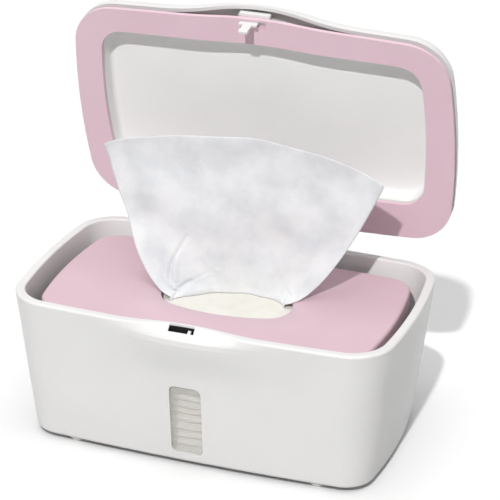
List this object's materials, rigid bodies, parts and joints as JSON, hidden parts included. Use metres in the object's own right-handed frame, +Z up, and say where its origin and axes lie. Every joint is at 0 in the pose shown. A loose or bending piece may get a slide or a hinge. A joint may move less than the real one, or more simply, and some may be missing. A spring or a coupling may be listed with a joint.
{
  "type": "wipes dispenser",
  "caption": "Lidded tub for wet wipes: spring-opened lid with a push-button latch, clear level window in the front, and a weighted plate with an oval hole that the wipes are drawn through",
  "frame": {"origin": "middle of the footprint, on the surface that the feet stand on", "axes": "+X to the right, -Y to the front where the window and the latch are, +Z up"},
  "size_m": [0.222, 0.1534, 0.2316],
  "materials": {
    "white_plastic": "smooth moulded white plastic with a soft sheen",
    "pink_plastic": "satin dusty pink plastic",
    "dark_plastic": "satin black plastic",
    "clear_plastic": "clear polished plastic",
    "soft_rubber": "soft white rubber",
    "steel": "plain steel",
    "wipe_cloth": "damp non-woven cloth"
  },
  "bodies": {
    "tub": {"tub": "white_plastic", "window_pane": "clear_plastic", "foot_front_left": "soft_rubber", "foot_front_right": "soft_rubber", "foot_rear_left": "soft_rubber", "foot_rear_right": "soft_rubber", "latch_catch": "dark_plastic", "hinge_pin": "steel", "hinge_spring": "steel", "wipe_stack": "wipe_cloth", "top_wipe": "wipe_cloth"},
    "lid": {"lid_shell": "white_plastic", "lid_liner": "white_plastic", "lid_ring": "pink_plastic", "lid_seal": "soft_rubber", "button_guide": "white_plastic", "button_spring": "steel"},
    "button": {"latch_button": "white_plastic"},
    "plate": {"plate_cover": "pink_plastic", "plate_weight": "steel", "plate_base": "pink_plastic", "plate_screws": "steel", "pulled_wipe": "wipe_cloth"}
  },
  "joints": [
    {"name": "lid_hinge", "type": "hinge", "parent": "tub", "child": "lid", "pos_m": [0, 0.0732, 0.0884], "axis": [1, 0, 0], "range_deg": [0, 77], "stiffness_Nm_per_rad": 0.06, "springref_deg": -63.03, "deforming": ["hinge_spring", "pulled_wipe"]},
    {"name": "button_slide", "type": "slide", "parent": "lid", "child": "button", "axis": [0, 0.225, -0.9744], "range_m": [0, 0.0016], "stiffness_N_per_m": 300, "springref_m": -0.002, "deforming": ["button_spring"]},
    {"name": "plate_level", "type": "slide", "parent": "tub", "child": "plate", "axis": [0, 0, 1], "range_m": [-0.055, 0], "deforming": ["wipe_stack", "top_wipe"]}
  ]
}
